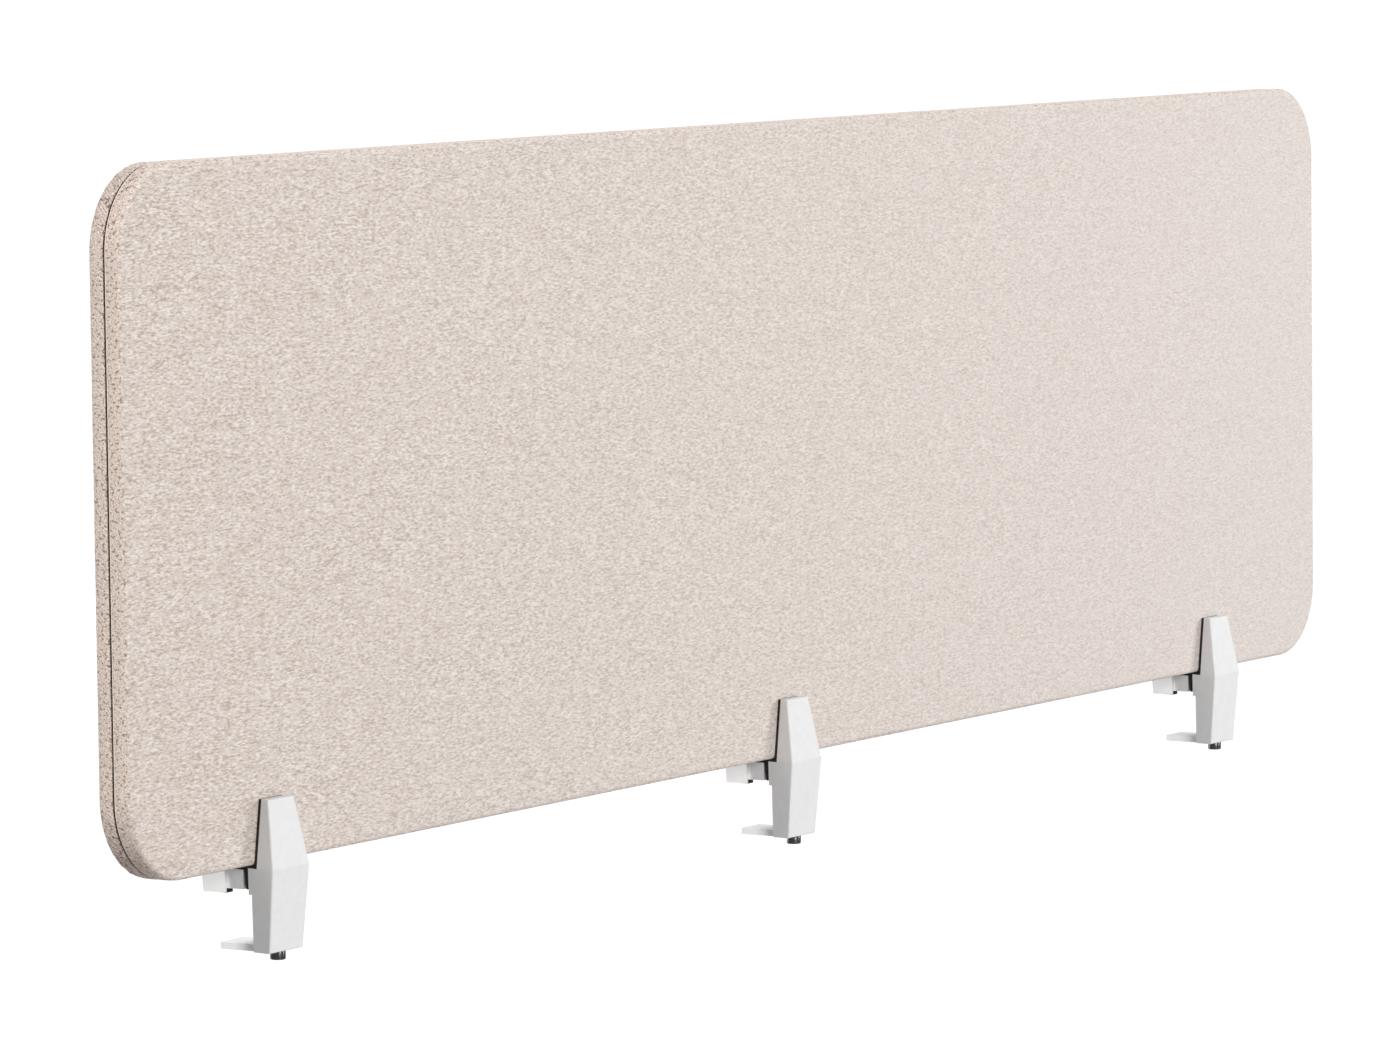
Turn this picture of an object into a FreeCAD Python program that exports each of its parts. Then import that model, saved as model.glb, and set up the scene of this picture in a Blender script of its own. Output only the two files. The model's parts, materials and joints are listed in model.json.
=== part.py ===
import FreeCAD, Part
import math
import os

import Sketcher

# Desk privacy panel: an upholstered screen held on a desk's edge by three clamps.
# Frame: X along the screen, Y from the front of the screen to its back, Z up.
# Origin: on the desk top, under the middle of the screen's thickness, at the middle clamp.
# All sizes are millimetres.

DRIVING = [
    # upholstered screen
    ("panel_width", "1600"),
    ("panel_height", "450"),
    ("panel_thickness", "25"),
    ("panel_corner", "55"),
    ("panel_edge_round", "3.5"),
    ("panel_lift", "19"),
    ("panel_shift", "15"),
    ("cover_thickness", "1"),
    ("foam_face", "4"),
    ("foam_edge", "3"),
    ("layer_gap", "0.1"),
    ("seam_thickness", "1"),
    ("seam_sink", "0.7"),
    # clamps
    ("clamp_pitch", "635"),
    ("wall", "3"),
    ("arm_top", "61"),
    ("arm_top_half", "14.5"),
    ("arm_top_reach", "21.2"),
    ("arm_top_back_half", "12.2"),
    ("arm_wide", "17"),
    ("arm_wide_half", "20.4"),
    ("arm_wide_reach", "28.4"),
    ("arm_wide_back_half", "18.6"),
    ("arm_drop", "37"),
    ("arm_drop_half", "18.6"),
    ("arm_drop_reach", "23.6"),
    ("arm_edge_round", "0.9"),
    ("step_reach", "7"),
    ("step_half", "17.6"),
    ("step_drop_half", "16"),
    ("edge_reach", "9.6"),
    ("web_drop", "8"),
    ("cut_overlap", "2"),
    # rubber
    ("pad_thickness", "2"),
    ("moving_gap", "0.3"),
    ("return_reach", "2.5"),
    ("lip_half", "15.6"),
    ("lip_clear", "3"),
    ("lip_tip_reach", "4.2"),
    ("lip_heel_reach", "5.4"),
    ("foot_height", "2.9"),
    ("foot_inner", "9.5"),
    ("foot_outer", "16.2"),
    ("foot_back", "20"),
    ("foot_proud", "0.4"),
    # lower block and neck of the rear arm
    ("rear_front", "10.8"),
    ("neck_half", "16"),
    ("neck_front", "1.9"),
    ("neck_lift", "3"),
    ("neck_top", "15.6"),
    # jaw
    ("jaw_half", "12.5"),
    ("jaw_reach", "19.5"),
    ("jaw_front", "20.1"),
    ("jaw_thickness", "4.4"),
    ("jaw_corner", "1.2"),
    ("rib_width", "2.4"),
    ("rib_height", "3"),
    ("rib_back", "10.4"),
    ("collar_radius", "5.2"),
    # M6 cap screws, with the thread as a plain cylinder
    ("screw_radius", "3"),
    ("bore_radius", "3.05"),
    ("clear_radius", "3.5"),
    ("screw_length", "35"),
    ("head_radius", "5"),
    ("head_height", "6"),
    ("low_head_height", "4"),
    ("head_clear", "5.5"),
    ("socket_radius", "2.887"),
    ("socket_depth", "2.6"),
    ("screw_chamfer", "0.6"),
    ("jaw_screw_reach", "16.8"),
    ("jaw_bore_top", "16.4"),
    ("grip_screw_height", "10"),
    ("grip_seat", "22.2"),
    ("head_hole_depth", "8"),
    ("grip_bore_end", "13.2"),
]

# Sizes that follow from the driving ones.
DERIVED = [
    ("half_thickness", "=panel_thickness / 2"),
    ("panel_middle", "=panel_lift + panel_height / 2"),
    ("cover_half_width", "=panel_width / 2"),
    ("cover_half_height", "=panel_height / 2"),
    ("cover_corner", "=panel_corner"),
    ("seam_half", "=seam_thickness / 2"),
    ("cover_depth", "=half_thickness - seam_half"),
    ("foam_half_width", "=cover_half_width - cover_thickness - layer_gap"),
    ("foam_half_height", "=cover_half_height - cover_thickness - layer_gap"),
    ("foam_corner", "=cover_corner - cover_thickness - layer_gap"),
    ("foam_depth", "=cover_depth - cover_thickness - layer_gap"),
    ("foam_round", "=panel_edge_round - cover_thickness"),
    ("board_half_width", "=foam_half_width - foam_edge - layer_gap"),
    ("board_half_height", "=foam_half_height - foam_edge - layer_gap"),
    ("board_corner", "=foam_corner - foam_edge - layer_gap"),
    ("board_half_depth", "=foam_depth + seam_half - foam_face - layer_gap"),
    ("board_thickness", "=2 * board_half_depth"),
    ("cover_pocket_width", "=cover_half_width - cover_thickness"),
    ("cover_pocket_height", "=cover_half_height - cover_thickness"),
    ("cover_pocket_corner", "=cover_corner - cover_thickness"),
    ("cover_pocket_depth", "=cover_depth - cover_thickness"),
    ("foam_pocket_width", "=foam_half_width - foam_edge"),
    ("foam_pocket_height", "=foam_half_height - foam_edge"),
    ("foam_pocket_corner", "=foam_corner - foam_edge"),
    ("foam_pocket_depth", "=foam_depth - foam_face"),
    ("seam_half_width", "=cover_half_width - seam_sink"),
    ("seam_half_height", "=cover_half_height - seam_sink"),
    ("seam_corner", "=cover_corner - seam_sink"),
    ("pad_plane", "=half_thickness + pad_thickness"),
    ("pad_top", "=arm_top - layer_gap"),
    ("rear_return_top", "=panel_lift - moving_gap"),
    ("rear_return_front", "=return_reach - moving_gap"),
    ("lip_depth", "=step_reach - return_reach"),
    ("desk_level", "=0"),
    ("centre_line", "=0"),
    ("cavity_top", "=arm_top - wall"),
    ("cavity_top_half", "=arm_top_half - wall"),
    ("cavity_top_reach", "=arm_top_reach - wall"),
    ("cavity_top_back_half", "=arm_top_back_half - wall"),
    ("cavity_wide_half", "=arm_wide_half - wall"),
    ("cavity_wide_reach", "=arm_wide_reach - wall"),
    ("cavity_wide_back_half", "=arm_wide_back_half - wall"),
    ("web_share", "=(arm_drop - web_drop) / (arm_drop + arm_wide)"),
    ("web_half", "=arm_drop_half + web_share * (arm_wide_half - arm_drop_half) - wall"),
    ("web_reach", "=arm_drop_reach + web_share * (arm_wide_reach - arm_drop_reach) - wall"),
    ("web_back_half", "=step_drop_half + web_share * (step_half - step_drop_half) - wall"),
    ("drop_cavity_half", "=arm_drop_half - wall"),
    ("drop_cavity_reach", "=arm_drop_reach - wall"),
    ("drop_cavity_back_half", "=step_drop_half - wall"),
    ("cut_reach", "=step_reach - cut_overlap"),
    ("desk_share", "=(arm_drop + foot_proud) / (arm_drop + arm_wide)"),
    ("rear_low_half", "=arm_drop_half + desk_share * (arm_wide_half - arm_drop_half)"),
    ("rear_low_reach", "=arm_drop_reach + desk_share * (arm_wide_reach - arm_drop_reach)"),
    ("front_share", "=(rear_front - step_reach) / (arm_wide_reach - step_reach)"),
    ("rear_front_half", "=step_half + front_share * (arm_wide_half - step_half)"),
    ("rear_drop_half", "=step_drop_half + front_share * (arm_drop_half - step_drop_half)"),
    ("rear_low_front_half", "=rear_drop_half + desk_share * (rear_front_half - rear_drop_half)"),
    ("foot_recess_half", "=foot_outer + layer_gap"),
    ("foot_recess_front", "=rear_front - cut_overlap"),
    ("foot_recess_back", "=foot_back + layer_gap"),
    ("foot_recess_top", "=foot_height + layer_gap"),
    ("jaw_top", "=arm_drop - jaw_thickness"),
    ("rib_inner_half", "=jaw_half - rib_width"),
    ("jaw_bore_depth", "=jaw_bore_top + web_drop"),
    ("relief_depth", "=arm_drop - web_drop"),
    ("grip_bore_depth", "=grip_bore_end - step_reach"),
    ("neck_length", "=neck_front + grip_seat"),
    ("rear_strip_thickness", "=pad_thickness - moving_gap"),
    ("jaw_hole_depth", "=jaw_thickness + rib_height"),
    ("head_height_side", "=head_height - screw_chamfer"),
    ("low_head_height_side", "=low_head_height - screw_chamfer"),
    ("head_face_radius", "=head_radius - screw_chamfer"),
    ("screw_side", "=screw_length - screw_chamfer"),
    ("screw_tip_radius", "=screw_radius - screw_chamfer"),
    ("socket_half", "=socket_radius / 2"),
    ("socket_flat", "=socket_radius * cos(30deg)"),
]

doc = FreeCAD.newDocument("desk_privacy_panel")
sheet = doc.addObject("Spreadsheet::Sheet", "Sheet")
for row, (alias, content) in enumerate(DRIVING + DERIVED, start=1):
    sheet.set("A%d" % row, alias)
    sheet.set("B%d" % row, content)
    sheet.setAlias("B%d" % row, alias)
doc.recompute()

NODES = []


def split_sign(name):
    """'-alias' gives (-1, alias), and 'alias' gives (1, alias)."""
    if name.startswith("-"):
        return -1, name[1:]
    return 1, name


def value(name):
    """Number in a sheet cell, with an optional leading minus sign."""
    sign, alias = split_sign(name)
    return sign * float(sheet.get(alias))


def reference(name):
    """Expression that reads a sheet cell, with an optional leading minus sign."""
    sign, alias = split_sign(name)
    return ("-" if sign < 0 else "") + "Sheet." + alias


def flip(name):
    """The same cell with the opposite sign."""
    sign, alias = split_sign(name)
    return alias if sign < 0 else "-" + alias


def signed(name, side):
    """The cell itself on the back of the screen (side 1), or mirrored to the front (side -1)."""
    return name if side > 0 else flip(name)


def bind(thing, field, name):
    """Tie one property of an object to a sheet cell."""
    thing.setExpression(field, reference(name))


def new_body(label):
    body = doc.addObject("PartDesign::Body", label)
    body.Label = label
    NODES.append(body)
    return body


def origin_plane(body, role):
    return next(feature for feature in body.Origin.OriginFeatures if feature.Role == role)


def new_sketch(body, name, role, offset=None):
    """Sketch on one of the body's origin planes, moved along the plane's normal by a cell."""
    sketch = body.newObject("Sketcher::SketchObject", name)
    sketch.AttachmentSupport = [(origin_plane(body, role), "")]
    sketch.MapMode = "FlatFace"
    if offset is not None:
        sketch.AttachmentOffset = FreeCAD.Placement(FreeCAD.Vector(0, 0, value(offset)), FreeCAD.Rotation())
        bind(sketch, "AttachmentOffset.Base.z", offset)
    return sketch


def fix_point(sketch, geometry, position, name, across, up):
    """Hold a point of the sketch at two cells' distances from the sketch's origin."""
    for kind, cell in (("DistanceX", across), ("DistanceY", up)):
        index = sketch.addConstraint(Sketcher.Constraint(kind, -1, 1, geometry, position, value(cell)))
        label = "%s_%s" % (name, kind)
        sketch.renameConstraint(index, label)
        bind(sketch, "Constraints." + label, cell)


def polygon(sketch, points):
    """Closed outline through points given as pairs of cells."""
    corners = [FreeCAD.Vector(value(across), value(up), 0) for across, up in points]
    count = len(corners)
    for index in range(count):
        sketch.addGeometry(Part.LineSegment(corners[index], corners[(index + 1) % count]), False)
    for index in range(count):
        sketch.addConstraint(Sketcher.Constraint("Coincident", index, 2, (index + 1) % count, 1))
    for index, (across, up) in enumerate(points):
        fix_point(sketch, index, 1, "corner%d" % index, across, up)


def circle(sketch, across, up, radius):
    centre = FreeCAD.Vector(value(across), value(up), 0)
    index = sketch.addGeometry(Part.Circle(centre, FreeCAD.Vector(0, 0, 1), value(radius)), False)
    size = sketch.addConstraint(Sketcher.Constraint("Radius", index, value(radius)))
    sketch.renameConstraint(size, "radius")
    bind(sketch, "Constraints.radius", radius)
    fix_point(sketch, index, 3, "centre", across, up)


def rounded_rectangle(sketch, half_width, half_height, corner):
    """Rectangle about the sketch's origin whose four corners are arcs."""
    wide, high, radius = value(half_width), value(half_height), value(corner)
    centres = [(1, 1), (-1, 1), (-1, -1), (1, -1)]
    for quarter, (side, level) in enumerate(centres):
        middle = FreeCAD.Vector(side * (wide - radius), level * (high - radius), 0)
        ring = Part.Circle(middle, FreeCAD.Vector(0, 0, 1), radius)
        start = quarter * math.pi / 2
        sketch.addGeometry(Part.ArcOfCircle(ring, start, start + math.pi / 2), False)
    for quarter in range(4):
        after = (quarter + 1) % 4
        begin = sketch.getPoint(quarter, 2)
        end = sketch.getPoint(after, 1)
        sketch.addGeometry(Part.LineSegment(begin, end), False)
    for quarter in range(4):
        after = (quarter + 1) % 4
        sketch.addConstraint(Sketcher.Constraint("Tangent", quarter, 2, 4 + quarter, 1))
        sketch.addConstraint(Sketcher.Constraint("Tangent", 4 + quarter, 2, after, 1))
    for quarter in range(1, 4):
        sketch.addConstraint(Sketcher.Constraint("Equal", 0, quarter))
    sketch.addConstraint(Sketcher.Constraint("Horizontal", 4))
    sketch.addConstraint(Sketcher.Constraint("Vertical", 5))
    size = sketch.addConstraint(Sketcher.Constraint("Radius", 0, radius))
    sketch.renameConstraint(size, "corner")
    bind(sketch, "Constraints.corner", corner)
    limits = [
        ("right", "DistanceX", 7, half_width),
        ("top", "DistanceY", 4, half_height),
        ("left", "DistanceX", 5, flip(half_width)),
        ("bottom", "DistanceY", 6, flip(half_height)),
    ]
    for label, kind, line, cell in limits:
        index = sketch.addConstraint(Sketcher.Constraint(kind, -1, 1, line, 1, value(cell)))
        sketch.renameConstraint(index, label)
        bind(sketch, "Constraints." + label, cell)


def extrude(body, kind, sketch, length, backwards=False):
    """Pad or Pocket of a sketch. A pocket must remove material and a pad must add it."""
    before = body.Shape.Volume if body.Tip else 0.0
    feature = body.newObject("PartDesign::" + kind, sketch.Name + "_" + kind.lower())
    feature.Profile = sketch
    feature.Length = abs(value(length))
    bind(feature, "Length", length)
    feature.Reversed = backwards
    doc.recompute()
    after = body.Shape.Volume
    grew = after > before + 1e-3
    shrank = after < before - 1e-3
    if (kind == "Pad" and not grew) or (kind == "Pocket" and not shrank):
        raise RuntimeError("%s on %s changed nothing" % (feature.Name, body.Label))
    return feature


def loft(body, kind, sketches):
    """Straight-sided loft through sketches, added to the body or cut from it."""
    feature = body.newObject("PartDesign::" + kind, sketches[0].Name + "_loft")
    feature.Profile = sketches[0]
    feature.Sections = sketches[1:]
    feature.Ruled = True
    doc.recompute()
    return feature


def round_edges(body, wanted, radius):
    """Fillet those edges of the body's last feature that wanted() accepts."""
    base = body.Tip
    names = ["Edge%d" % (i + 1) for i, edge in enumerate(base.Shape.Edges) if wanted(edge)]
    fillet = body.newObject("PartDesign::Fillet", body.Label + "_round")
    fillet.Base = (base, names)
    fillet.Radius = value(radius)
    bind(fillet, "Radius", radius)
    doc.recompute()
    return fillet


def lies_at(edge, axis, level, slack=0.01):
    """True where an edge lies wholly at one level along an axis (0, 1 or 2)."""
    box = edge.BoundBox
    low = (box.XMin, box.YMin, box.ZMin)[axis]
    high = (box.XMax, box.YMax, box.ZMax)[axis]
    return abs(low - level) < slack and abs(high - level) < slack


def place(body, across=None, along=None, up=None, turn=None):
    """Put a body at cells' distances from the origin, turned about X by some degrees."""
    spot = FreeCAD.Vector(*(value(cell) if cell else 0.0 for cell in (across, along, up)))
    body.Placement = FreeCAD.Placement(spot, FreeCAD.Rotation(FreeCAD.Vector(1, 0, 0), turn or 0))
    for field, cell in (("x", across), ("y", along), ("z", up)):
        if cell:
            bind(body, "Placement.Base." + field, cell)


def tray(label, side, layer, edge_round, hollow_round=None):
    """Half of a soft layer: a rounded dish that opens toward the screen's middle plane."""
    body = new_body(label)
    # The XZ plane's normal points to -Y, so the front half lies along the normal.
    shell = new_sketch(body, label + "_outline", "XZ_Plane", signed("-seam_half", side))
    rounded_rectangle(shell, layer + "_half_width", layer + "_half_height", layer + "_corner")
    extrude(body, "Pad", shell, layer + "_depth", backwards=side > 0)
    hollow = new_sketch(body, label + "_hollow", "XZ_Plane", signed("-seam_half", side))
    rounded_rectangle(hollow, layer + "_pocket_width", layer + "_pocket_height", layer + "_pocket_corner")
    extrude(body, "Pocket", hollow, layer + "_pocket_depth", backwards=side < 0)
    if hollow_round:
        floor = side * (value("seam_half") + value(layer + "_pocket_depth"))
        round_edges(body, lambda edge: lies_at(edge, 1, floor), hollow_round)
    face = side * (value("seam_half") + value(layer + "_depth"))
    round_edges(body, lambda edge: lies_at(edge, 1, face), edge_round)
    place(body, "panel_shift", None, "panel_middle")


def core_board():
    """Wood-based board in the middle of the screen."""
    body = new_body("core_board")
    outline = new_sketch(body, "core_outline", "XZ_Plane", "-board_half_depth")
    rounded_rectangle(outline, "board_half_width", "board_half_height", "board_corner")
    extrude(body, "Pad", outline, "board_thickness")
    place(body, "panel_shift", None, "panel_middle")


def seam_allowance():
    """Sewn edge of the two fabric halves: a thin ring round the board, sunk below the covers."""
    body = new_body("seam_allowance")
    outline = new_sketch(body, "seam_outline", "XZ_Plane", "-seam_half")
    rounded_rectangle(outline, "seam_half_width", "seam_half_height", "seam_corner")
    extrude(body, "Pad", outline, "seam_thickness")
    hollow = new_sketch(body, "seam_hollow", "XZ_Plane", "-seam_half")
    rounded_rectangle(hollow, "foam_pocket_width", "foam_pocket_height", "foam_pocket_corner")
    extrude(body, "Pocket", hollow, "seam_thickness", backwards=True)
    place(body, "panel_shift", None, "panel_middle")


def trapezoid(body, name, level, side, outer_half, outer_reach, inner_half, inner_reach):
    """Level section of an arm: wide where it faces outward, narrower towards the screen."""
    sketch = new_sketch(body, name, "XY_Plane", level)
    points = [
        ("-" + outer_half, signed(outer_reach, side)),
        (outer_half, signed(outer_reach, side)),
        (inner_half, signed(inner_reach, side)),
        ("-" + inner_half, signed(inner_reach, side)),
    ]
    polygon(sketch, points)
    return sketch


def side_outline(body, name, kind, half, outline):
    """Pad or pocket of a side view outline, given as pairs of Y and Z cells, symmetric in X."""
    sketch = new_sketch(body, name, "YZ_Plane", "-" + half)
    polygon(sketch, outline)
    feature = body.newObject("PartDesign::" + kind, name + "_" + kind.lower())
    feature.Profile = sketch
    feature.Length = 2 * value(half)
    feature.setExpression("Length", "2 * " + reference(half))
    feature.Reversed = kind == "Pocket"
    doc.recompute()
    return feature


def box(body, name, kind, low, high, half, near, far):
    """Block or pocket, symmetric in X, from one level to another and between two Y distances."""
    return side_outline(body, name, kind, half, [(near, low), (far, low), (far, high), (near, high)])


def upper_shell(body, label, side):
    """Part of an arm beside the screen: a tapered shell that opens toward the fabric."""
    top = trapezoid(body, label + "_top", "arm_top", side,
                    "arm_top_half", "arm_top_reach", "arm_top_back_half", "pad_plane")
    wide = trapezoid(body, label + "_wide", "arm_wide", side,
                     "arm_wide_half", "arm_wide_reach", "arm_wide_back_half", "pad_plane")
    loft(body, "AdditiveLoft", [wide, top])


def upper_cavity(body, label, side):
    """Hollow of the upper shell, closed at the top and floored by the web."""
    top = trapezoid(body, label + "_cavity_top", "cavity_top", side,
                    "cavity_top_half", "cavity_top_reach", "cavity_top_back_half", "half_thickness")
    wide = trapezoid(body, label + "_cavity_wide", "arm_wide", side,
                     "cavity_wide_half", "cavity_wide_reach", "cavity_wide_back_half", "half_thickness")
    loft(body, "SubtractiveLoft", [wide, top])


def outward(edge, side, reach_cell, slack=0.3):
    """True for an edge that no point brings nearer the screen than a given reach."""
    box_y = edge.BoundBox
    nearest = box_y.YMin if side > 0 else -box_y.YMax
    return nearest > value(reach_cell) - slack


def front_arm(label, across):
    """Cast arm in front of the screen and of the desk's edge, with both threaded bores."""
    body = new_body(label)
    upper_shell(body, label, -1)
    wide = trapezoid(body, label + "_step_top", "arm_wide", -1,
                     "arm_wide_half", "arm_wide_reach", "step_half", "step_reach")
    low = trapezoid(body, label + "_drop", "-arm_drop", -1,
                    "arm_drop_half", "arm_drop_reach", "step_drop_half", "step_reach")
    loft(body, "AdditiveLoft", [wide, low])
    round_edges(body, lambda edge: outward(edge, -1, "arm_top_reach"), "arm_edge_round")
    upper_cavity(body, label, -1)
    web = trapezoid(body, label + "_web", "-web_drop", -1,
                    "web_half", "web_reach", "web_back_half", "cut_reach")
    foot = trapezoid(body, label + "_opening", "-arm_drop", -1,
                     "drop_cavity_half", "drop_cavity_reach", "drop_cavity_back_half", "cut_reach")
    loft(body, "SubtractiveLoft", [web, foot])
    box(body, label + "_edge_cut", "Pocket", "-arm_drop", "desk_level", "arm_wide_half",
        "-edge_reach", "-cut_reach")
    bore = new_sketch(body, label + "_jaw_bore", "XY_Plane", "-web_drop")
    circle(bore, "centre_line", "-jaw_screw_reach", "bore_radius")
    extrude(body, "Pocket", bore, "jaw_bore_depth", backwards=True)
    relief = new_sketch(body, label + "_head_relief", "XY_Plane", "-arm_drop")
    circle(relief, "centre_line", "-jaw_screw_reach", "head_clear")
    extrude(body, "Pocket", relief, "relief_depth", backwards=True)
    grip = new_sketch(body, label + "_grip_bore", "XZ_Plane", "step_reach")
    circle(grip, "centre_line", "grip_screw_height", "bore_radius")
    extrude(body, "Pocket", grip, "grip_bore_depth", backwards=True)
    place(body, across)


def rear_arm(label, across):
    """Cast arm behind the screen, with a neck under the screen that the grip screw crosses."""
    body = new_body(label)
    upper_shell(body, label, 1)
    wide = trapezoid(body, label + "_seat_top", "arm_wide", 1,
                     "arm_wide_half", "arm_wide_reach", "rear_front_half", "rear_front")
    low = trapezoid(body, label + "_seat", "foot_proud", 1,
                    "rear_low_half", "rear_low_reach", "rear_low_front_half", "rear_front")
    loft(body, "AdditiveLoft", [wide, low])
    round_edges(body, lambda edge: outward(edge, 1, "arm_top_reach"), "arm_edge_round")
    upper_cavity(body, label, 1)
    neck = new_sketch(body, label + "_neck", "XZ_Plane", "neck_front")
    polygon(neck, [("-neck_half", "neck_lift"), ("neck_half", "neck_lift"),
                   ("neck_half", "neck_top"), ("-neck_half", "neck_top")])
    extrude(body, "Pad", neck, "neck_length", backwards=True)
    box(body, label + "_foot_recess", "Pocket", "desk_level", "foot_recess_top",
        "foot_recess_half", "foot_recess_front", "foot_recess_back")
    bore = new_sketch(body, label + "_screw_hole", "XZ_Plane", "neck_front")
    circle(bore, "centre_line", "grip_screw_height", "bore_radius")
    extrude(body, "Pocket", bore, "neck_length")
    seat = new_sketch(body, label + "_head_hole", "XZ_Plane", "-grip_seat")
    circle(seat, "centre_line", "grip_screw_height", "head_clear")
    extrude(body, "Pocket", seat, "head_hole_depth")
    place(body, across)


def front_grip_pad(label, across):
    """Rubber between the front arm and the fabric, turned under the screen and down before the neck."""
    body = new_body(label)
    strip = new_sketch(body, label + "_strip", "XZ_Plane", "half_thickness")
    polygon(strip, [("-arm_wide_back_half", "arm_wide"), ("arm_wide_back_half", "arm_wide"),
                    ("arm_top_back_half", "pad_top"), ("-arm_top_back_half", "pad_top")])
    extrude(body, "Pad", strip, "pad_thickness")
    box(body, label + "_return", "Pad", "arm_wide", "panel_lift", "step_half",
        "-pad_plane", "-return_reach")
    side_outline(body, label + "_lip", "Pad", "lip_half", [
        ("-step_reach", "arm_wide"), ("-return_reach", "arm_wide"),
        ("-lip_tip_reach", "lip_clear"), ("-lip_heel_reach", "lip_clear")])
    hole = new_sketch(body, label + "_hole", "XZ_Plane", "return_reach")
    circle(hole, "centre_line", "grip_screw_height", "clear_radius")
    extrude(body, "Pocket", hole, "lip_depth", backwards=True)
    place(body, across)


def rear_grip_pad(label, across):
    """Rubber between the rear arm and the fabric, turned under the screen and over the neck."""
    body = new_body(label)
    strip = new_sketch(body, label + "_strip", "XZ_Plane", "-pad_plane")
    polygon(strip, [("-arm_wide_back_half", "arm_wide"), ("arm_wide_back_half", "arm_wide"),
                    ("arm_top_back_half", "pad_top"), ("-arm_top_back_half", "pad_top")])
    extrude(body, "Pad", strip, "rear_strip_thickness")
    box(body, label + "_return", "Pad", "arm_wide", "rear_return_top", "neck_half",
        "-rear_return_front", "pad_plane")
    box(body, label + "_neck_layer", "Pad", "neck_top", "arm_wide", "neck_half",
        "-rear_return_front", "rear_front")
    place(body, across)


def foot_pad(label, across, outer, inner):
    """Rubber foot on one side of the rear arm's recess, standing on the desk top."""
    body = new_body(label)
    outline = new_sketch(body, label + "_outline", "XY_Plane")
    polygon(outline, [(outer, "rear_front"), (inner, "rear_front"), (inner, "foot_back"), (outer, "foot_back")])
    extrude(body, "Pad", outline, "foot_height")
    place(body, across)


def jaw(label, across):
    """Plate under the desk, with guide ribs and a collar that run inside the front arm."""
    body = new_body(label)
    plate = new_sketch(body, label + "_plate", "XY_Plane", "-arm_drop")
    polygon(plate, [("-jaw_half", "-jaw_front"), ("jaw_half", "-jaw_front"),
                    ("jaw_half", "jaw_reach"), ("-jaw_half", "jaw_reach")])
    extrude(body, "Pad", plate, "jaw_thickness")
    tip = value("jaw_reach")

    def tip_corner(edge):
        upright = edge.BoundBox.ZLength > value("jaw_thickness") - 0.01
        return upright and abs(edge.BoundBox.YMax - tip) < 0.01

    round_edges(body, tip_corner, "jaw_corner")
    for name, outer, inner in (("left", "-jaw_half", "-rib_inner_half"), ("right", "jaw_half", "rib_inner_half")):
        rib = new_sketch(body, "%s_%s_rib" % (label, name), "XY_Plane", "-jaw_top")
        polygon(rib, [(outer, "-jaw_front"), (inner, "-jaw_front"), (inner, "-rib_back"), (outer, "-rib_back")])
        extrude(body, "Pad", rib, "rib_height")
    collar = new_sketch(body, label + "_collar", "XY_Plane", "-arm_drop")
    circle(collar, "centre_line", "-jaw_screw_reach", "collar_radius")
    extrude(body, "Pad", collar, "jaw_hole_depth")
    hole = new_sketch(body, label + "_hole", "XY_Plane", "-arm_drop")
    circle(hole, "centre_line", "-jaw_screw_reach", "bore_radius")
    extrude(body, "Pocket", hole, "jaw_hole_depth", backwards=True)
    place(body, across)


def cap_screw(label, head_height, across, along, up, turn):
    """Hexagon socket cap screw: head below its local origin, shank up its local Z axis."""
    body = new_body(label)
    profile = new_sketch(body, label + "_profile", "XZ_Plane")
    points = [
        ("centre_line", "-" + head_height),
        ("head_face_radius", "-" + head_height),
        ("head_radius", "-" + head_height + "_side"),
        ("head_radius", "centre_line"),
        ("screw_radius", "centre_line"),
        ("screw_radius", "screw_side"),
        ("screw_tip_radius", "screw_length"),
        ("centre_line", "screw_length"),
    ]
    polygon(profile, points)
    turned = body.newObject("PartDesign::Revolution", label + "_turned")
    turned.Profile = profile
    turned.ReferenceAxis = (profile, ["V_Axis"])
    turned.Angle = 360
    doc.recompute()
    socket = new_sketch(body, label + "_socket", "XY_Plane", "-" + head_height)
    polygon(socket, [("socket_radius", "centre_line"), ("socket_half", "socket_flat"),
                     ("-socket_half", "socket_flat"), ("-socket_radius", "centre_line"),
                     ("-socket_half", "-socket_flat"), ("socket_half", "-socket_flat")])
    extrude(body, "Pocket", socket, "socket_depth", backwards=True)
    place(body, across, along, up, turn)


core_board()
seam_allowance()
for side, where in ((-1, "front"), (1, "rear")):
    tray(where + "_foam", side, "foam", "foam_round")
    tray(where + "_cover", side, "cover", "panel_edge_round", "foam_round")
for where, across in (("left", "-clamp_pitch"), ("middle", "centre_line"), ("right", "clamp_pitch")):
    front_arm(where + "_front_arm", across)
    rear_arm(where + "_rear_arm", across)
    front_grip_pad(where + "_front_grip_pad", across)
    rear_grip_pad(where + "_rear_grip_pad", across)
    foot_pad(where + "_foot_pad_1", across, "-foot_outer", "-foot_inner")
    foot_pad(where + "_foot_pad_2", across, "foot_outer", "foot_inner")
    jaw(where + "_jaw", across)
    cap_screw(where + "_jaw_screw", "head_height", across, "-jaw_screw_reach", "-arm_drop", 0)
    cap_screw(where + "_grip_screw", "low_head_height", across, "grip_seat", "grip_screw_height", 90)
doc.recompute()

for thing in doc.Objects:
    faults = [word for word in thing.State if word in ("Invalid", "Error")]
    if faults:
        raise RuntimeError("%s is %s" % (thing.Name, faults))
for body in NODES:
    if body.Shape.isNull() or not body.Shape.isValid() or len(body.Shape.Solids) != 1:
        raise RuntimeError("%s has a bad shape" % body.Label)

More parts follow.
